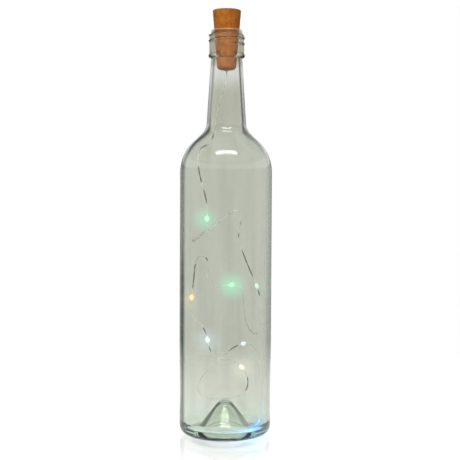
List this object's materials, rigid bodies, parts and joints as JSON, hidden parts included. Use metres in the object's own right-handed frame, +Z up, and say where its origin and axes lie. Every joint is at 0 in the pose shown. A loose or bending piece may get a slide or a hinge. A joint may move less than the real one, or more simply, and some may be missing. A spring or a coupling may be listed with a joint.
{
  "type": "cork bottle light",
  "caption": "Clear glass wine bottle with a tapered cork-shaped battery stopper in its neck; a thin wire with small coloured lights hangs from the stopper and lies inside.",
  "frame": {"origin": "middle of the bottle's foot ring, on the plane it stands on", "axes": "+Z up along the bottle's axis; -Y faces the viewer of the picture, +X to the right"},
  "size_m": [0.074, 0.074, 0.3422],
  "materials": {
    "clear_glass": "clear blown glass with a faint green tint",
    "cork_plastic": "moulded plastic with a varnished cork pattern",
    "wire_pair": "lacquered tinned copper",
    "light_resin": "clear cast resin",
    "light_green": "lit green",
    "light_amber": "lit amber",
    "light_cool_white": "lit cool white",
    "light_warm_white": "lit warm white",
    "light_blue": "lit blue",
    "seal_resin": "hot-melt resin",
    "contact_brass": "stamped sheet",
    "cell_steel": "plated can",
    "board_laminate": "green board laminate",
    "switch_steel": "stamped case",
    "black_plastic": "moulded"
  },
  "bodies": {
    "bottle": {"bottle": "clear_glass", "light_wire": "wire_pair", "led_bead_1": "light_resin", "led_bead_2": "light_resin", "led_bead_3": "light_resin", "led_bead_4": "light_resin", "led_bead_5": "light_resin", "led_bead_6": "light_resin", "led_bead_7": "light_resin", "led_bead_8": "light_resin", "led_chip_1": "light_green", "led_chip_2": "light_green", "led_chip_3": "light_green", "led_chip_4": "light_amber", "led_chip_5": "light_cool_white", "led_chip_6": "light_warm_white", "led_chip_7": "light_cool_white", "led_chip_8": "light_blue"},
    "stopper": {"cork_sleeve": "cork_plastic", "negative_contact": "contact_brass", "side_contact": "contact_brass", "wire_seal": "seal_resin", "lead_tail": "wire_pair", "lead_wire": "wire_pair", "cell_1": "cell_steel", "cell_2": "cell_steel", "cell_3": "cell_steel"},
    "head": {"cork_cap": "cork_plastic", "circuit_board": "board_laminate", "switch_case": "switch_steel", "positive_contact": "contact_brass", "chip_resistor": "black_plastic"},
    "slider": {"switch_slider": "black_plastic"}
  },
  "joints": [
    {"name": "cork_lift", "type": "slide", "parent": "bottle", "child": "stopper", "axis": [0, 0, 1], "range_m": [0, 0.06], "deforming": ["lead_wire"]},
    {"name": "cap_pull", "type": "slide", "parent": "stopper", "child": "head", "axis": [0, 0, 1], "range_m": [0, 0.025]},
    {"name": "switch_slide", "type": "slide", "parent": "head", "child": "slider", "axis": [-1, 0, 0], "range_m": [0, 0.002]}
  ]
}
